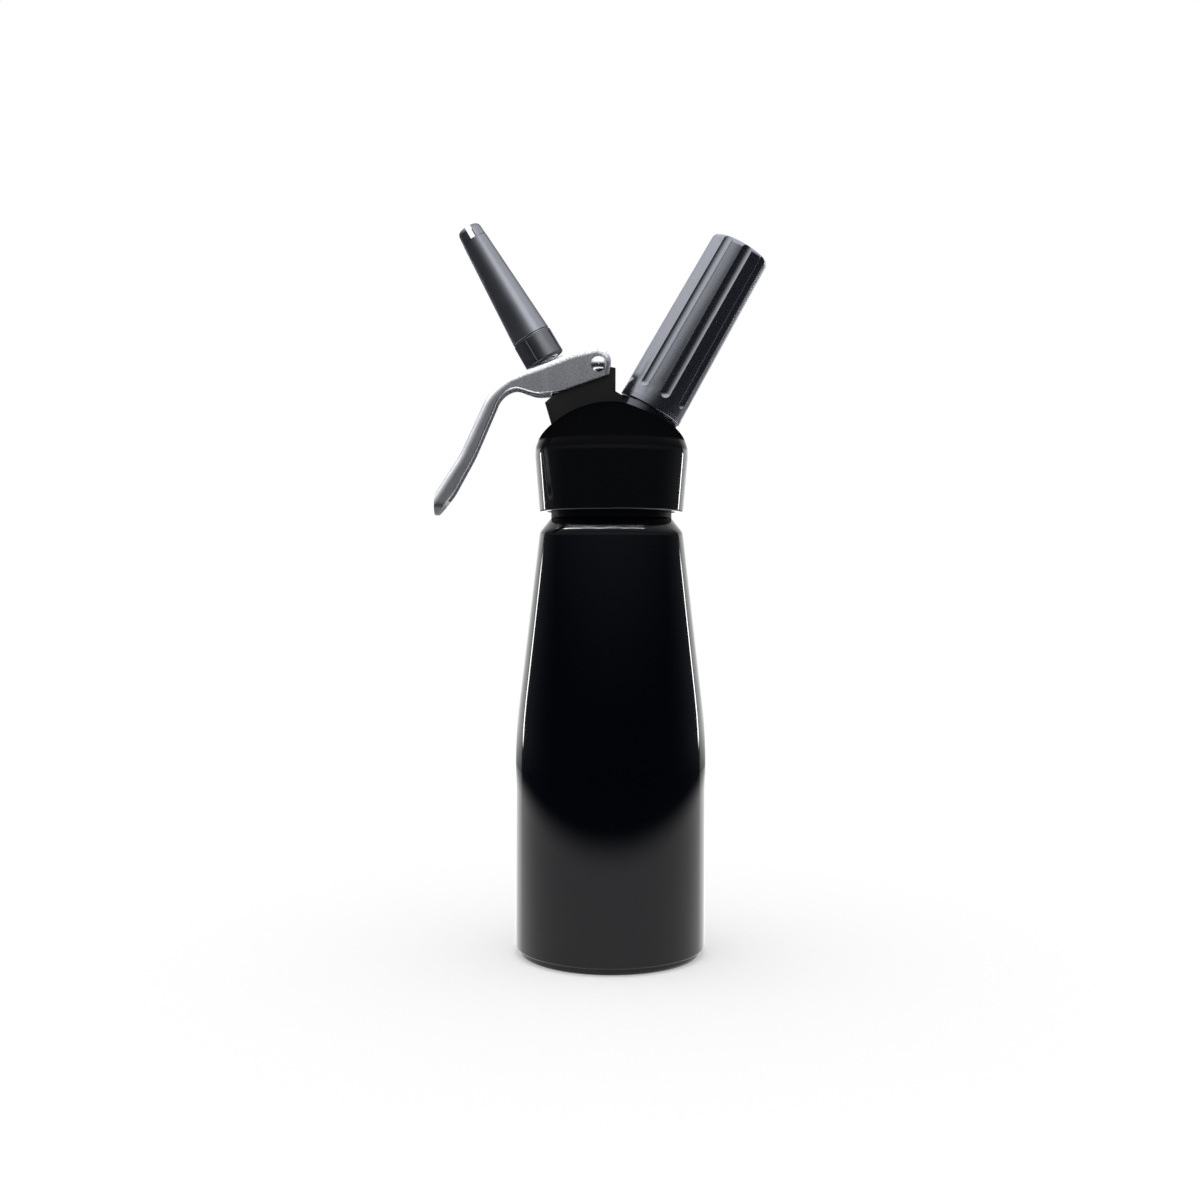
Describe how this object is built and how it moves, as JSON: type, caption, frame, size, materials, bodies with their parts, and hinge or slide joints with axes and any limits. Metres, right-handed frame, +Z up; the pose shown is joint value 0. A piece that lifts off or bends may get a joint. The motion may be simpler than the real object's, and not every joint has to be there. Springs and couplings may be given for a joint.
{
  "type": "whipped cream dispenser",
  "caption": "Whipped cream dispenser: tapered bottle, screw-on dome head with a squeeze lever, a tilted slotted decorator nozzle and a tilted fluted gas charger holder.",
  "frame": {"origin": "centre of the ring the bottle stands on", "axes": "+Z up along the bottle's axis, nozzle and lever towards -X, charger holder towards +X, seen from -Y in use"},
  "size_m": [0.1314, 0.0758, 0.2905],
  "materials": {
    "bottle_lacquer": "gloss",
    "head_lacquer": "gloss",
    "holder_lacquer": "gloss",
    "lever_aluminium": "satin",
    "pin_steel": "polished",
    "turned_steel": "satin",
    "spring_steel": "satin",
    "nipple_brass": "satin",
    "tip_plastic": "gloss",
    "seal_rubber": "matte"
  },
  "bodies": {
    "bottle_body": {"bottle": "bottle_lacquer"},
    "head": {"head_cap": "head_lacquer", "valve_block": "head_lacquer", "head_gasket": "seal_rubber", "charger_collar": "head_lacquer", "valve_bush": "turned_steel", "return_spring": "spring_steel", "charger_nipple": "nipple_brass", "piercing_pin": "turned_steel", "charger_seal": "seal_rubber", "nipple_nut": "nipple_brass", "check_sleeve": "seal_rubber"},
    "stem": {"valve_stem": "turned_steel", "stem_flange": "turned_steel", "valve_seal": "seal_rubber", "valve_nut": "turned_steel", "stem_oring_inner": "seal_rubber", "stem_oring_outer": "seal_rubber"},
    "decorator": {"decorator_base": "tip_plastic", "decorator_insert": "turned_steel", "decorator_tip": "tip_plastic"},
    "lever_arm": {"lever": "lever_aluminium", "lever_pin": "pin_steel"},
    "holder": {"charger_holder": "holder_lacquer", "holder_insert": "turned_steel"}
  },
  "joints": [
    {"name": "head_unscrew", "type": "slide", "parent": "bottle_body", "child": "head", "axis": [0, 0, 1], "range_m": [0, 0.06]},
    {"name": "lever_pivot", "type": "hinge", "parent": "head", "child": "lever_arm", "pos_m": [-0.00525, 0, 0.2339], "axis": [0, -1, 0], "range_deg": [0, 10], "stiffness_Nm_per_rad": 1, "springref_deg": -11.46},
    {"name": "stem_slide", "type": "slide", "parent": "head", "child": "stem", "axis": [0.5075, 0, -0.8616], "range_m": [0, 0.0031], "deforming": ["return_spring"]},
    {"name": "decorator_unscrew", "type": "slide", "parent": "stem", "child": "decorator", "axis": [-0.5075, 0, 0.8616], "range_m": [0, 0.03]},
    {"name": "holder_unscrew", "type": "slide", "parent": "head", "child": "holder", "axis": [0.4924, 0, 0.8704], "range_m": [0, 0.09]}
  ],
  "couplings": [
    {"joint": "stem_slide", "follows": "lever_pivot", "m_per_rad": 0.017703}
  ]
}
